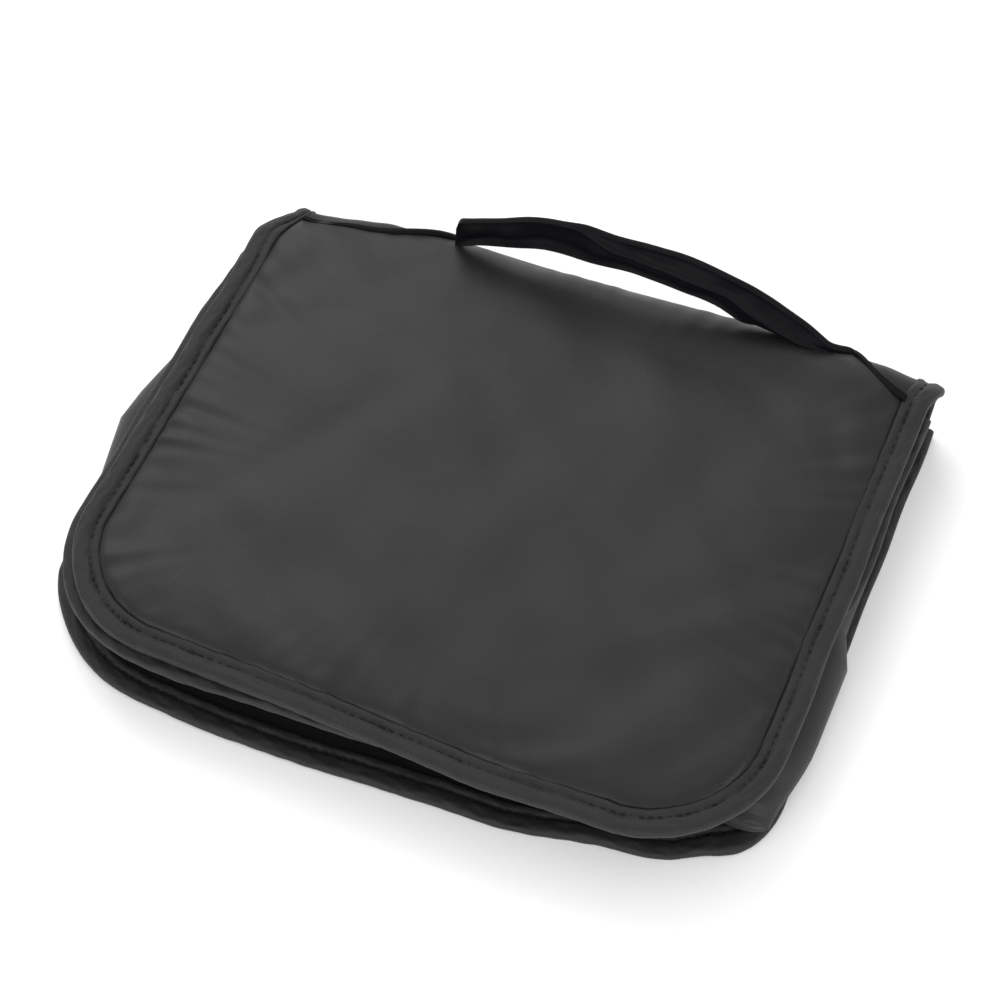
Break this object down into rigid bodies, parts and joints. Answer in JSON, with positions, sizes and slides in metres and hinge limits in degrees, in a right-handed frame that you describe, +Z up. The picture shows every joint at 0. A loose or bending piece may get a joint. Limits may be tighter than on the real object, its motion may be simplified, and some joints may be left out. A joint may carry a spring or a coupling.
{
  "type": "film changing bag",
  "caption": "Light-tight bag for handling film, folded flat into its own bound flap cover with a carrying handle; zips and arm sleeves are inside.",
  "frame": {"origin": "on the surface the folded bag lies on, below the middle of its cover", "axes": "+X to the right along the spine's seam, +Y from the open front edge to the spine, +Z up"},
  "size_m": [0.248, 0.2, 0.0595],
  "materials": {
    "nylon": "semi-matte black nylon twill",
    "tape": "ribbed black binding tape",
    "liner": "coated light-tight lining",
    "webbing": "folded strap cloth",
    "foam": "thin padding",
    "hook_loop": "hook and loop",
    "elastic": "woven elastic",
    "coil": "nylon coil",
    "zip_metal": "black painted zip metal"
  },
  "bodies": {
    "base": {"back_binding": "tape", "back_panel": "nylon", "back_lining": "liner", "chamber_floor": "nylon", "chamber_gusset": "nylon", "chamber_lid": "nylon", "liner_floor": "liner", "liner_wall": "liner", "liner_lid": "liner", "outer_zip_upper_tape": "tape", "outer_zip_upper_coil": "coil", "outer_zip_lower_tape": "tape", "outer_zip_lower_coil": "coil", "outer_zip_left_stop": "zip_metal", "outer_zip_right_stop": "zip_metal", "inner_zip_upper_tape": "tape", "inner_zip_upper_coil": "coil", "inner_zip_lower_tape": "tape", "inner_zip_lower_coil": "coil", "inner_zip_left_stop": "zip_metal", "inner_zip_right_stop": "zip_metal", "sleeve_collar_right": "nylon", "sleeve_collar_left": "nylon", "sleeve_right": "nylon", "sleeve_left": "nylon"},
    "spine": {"spine_panel": "nylon", "spine_lining": "liner", "spine_binding_left": "tape", "spine_binding_right": "tape", "handle_tail_left": "webbing", "handle_tail_right": "webbing", "bar_tack_left": "webbing", "bar_tack_right": "webbing"},
    "flap": {"flap_binding": "tape", "flap_lining": "liner", "flap_panel": "nylon", "flap_foam": "foam", "closure_hook": "hook_loop"},
    "trap": {"trap_binding": "tape", "trap_lining": "liner", "trap_panel": "nylon", "closure_loop": "hook_loop"},
    "handle": {"handle_front_layer": "webbing", "handle_back_layer": "webbing"},
    "right_cuff": {"cuff_right": "nylon", "elastic_right": "elastic"},
    "left_cuff": {"cuff_left": "nylon", "elastic_left": "elastic"},
    "outer_slider": {"outer_zip_slider": "zip_metal"},
    "outer_puller": {"outer_zip_puller": "zip_metal"},
    "inner_slider": {"inner_zip_slider": "zip_metal"},
    "inner_puller": {"inner_zip_puller": "zip_metal"}
  },
  "joints": [
    {"name": "spine_fold", "type": "hinge", "parent": "base", "child": "spine", "pos_m": [0, 0.099, 0.003], "axis": [-1, 0, 0], "range_deg": [0, 60]},
    {"name": "flap_fold", "type": "hinge", "parent": "spine", "child": "flap", "pos_m": [0, 0.064, 0.0301], "axis": [-1, 0, 0], "range_deg": [0, 110]},
    {"name": "trap_fold", "type": "hinge", "parent": "spine", "child": "trap", "pos_m": [0, 0.0625, 0.0259], "axis": [-1, 0, 0], "range_deg": [0, 66]},
    {"name": "handle_swing", "type": "hinge", "parent": "spine", "child": "handle", "pos_m": [0, 0.093, 0.03], "axis": [-1, 0, 0], "range_deg": [-70, 80]},
    {"name": "right_sleeve_draw", "type": "slide", "parent": "base", "child": "right_cuff", "axis": [1, 0, 0], "range_m": [0, 0.2], "deforming": ["sleeve_right"]},
    {"name": "left_sleeve_draw", "type": "slide", "parent": "base", "child": "left_cuff", "axis": [-1, 0, 0], "range_m": [0, 0.2], "deforming": ["sleeve_left"]},
    {"name": "outer_zip_slide", "type": "slide", "parent": "base", "child": "outer_slider", "axis": [1, 0, 0], "range_m": [0, 0.114]},
    {"name": "outer_puller_swing", "type": "hinge", "parent": "outer_slider", "child": "outer_puller", "pos_m": [-0.058, -0.091, 0.0124], "axis": [0, 0, -1], "range_deg": [0, 165]},
    {"name": "inner_zip_slide", "type": "slide", "parent": "base", "child": "inner_slider", "axis": [1, 0, 0], "range_m": [0, 0.114]},
    {"name": "inner_puller_swing", "type": "hinge", "parent": "inner_slider", "child": "inner_puller", "pos_m": [-0.058, -0.0788, 0.0124], "axis": [0, 0, -1], "range_deg": [0, 22]}
  ],
  "couplings": [
    {"joint": "trap_fold", "follows": "flap_fold", "ratio": 0.6}
  ]
}
